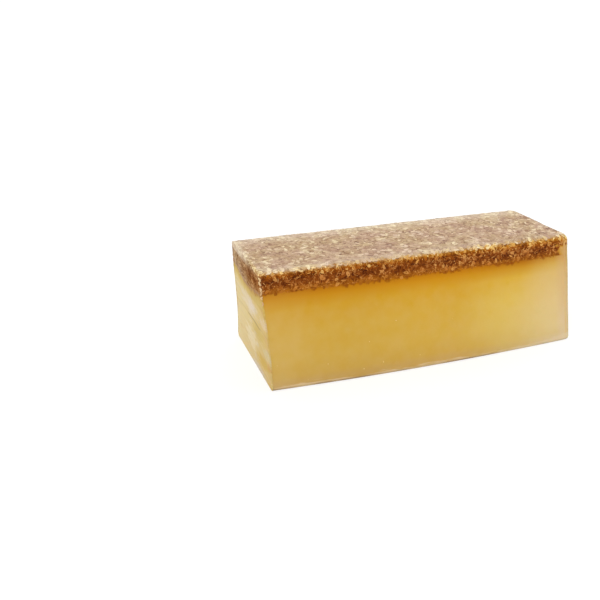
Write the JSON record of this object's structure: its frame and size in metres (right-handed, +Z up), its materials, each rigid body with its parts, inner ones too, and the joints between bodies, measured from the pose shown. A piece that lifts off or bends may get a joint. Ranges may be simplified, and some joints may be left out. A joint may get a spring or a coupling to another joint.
{
  "type": "soap loaf",
  "caption": "Tapered loaf of clear honey-coloured soap with a layer of oats cast on top, cut across at one end, for slicing into bars.",
  "frame": {"origin": "middle of the box's base, where the loaf rests", "axes": "+X along the loaf from the cut end to the cast end, +Y from the front to the back, +Z up"},
  "size_m": [0.1972, 0.0804, 0.066],
  "materials": {
    "clear_soap": "translucent honey soap, satin where it left the tray, dragged where the knife went through",
    "oat_soap": "pale rolled oats packed in amber soap, flush and slightly glossy"
  },
  "bodies": {
    "root": {"clear_soap_base": "clear_soap", "oat_layer": "oat_soap"}
  },
  "joints": []
}
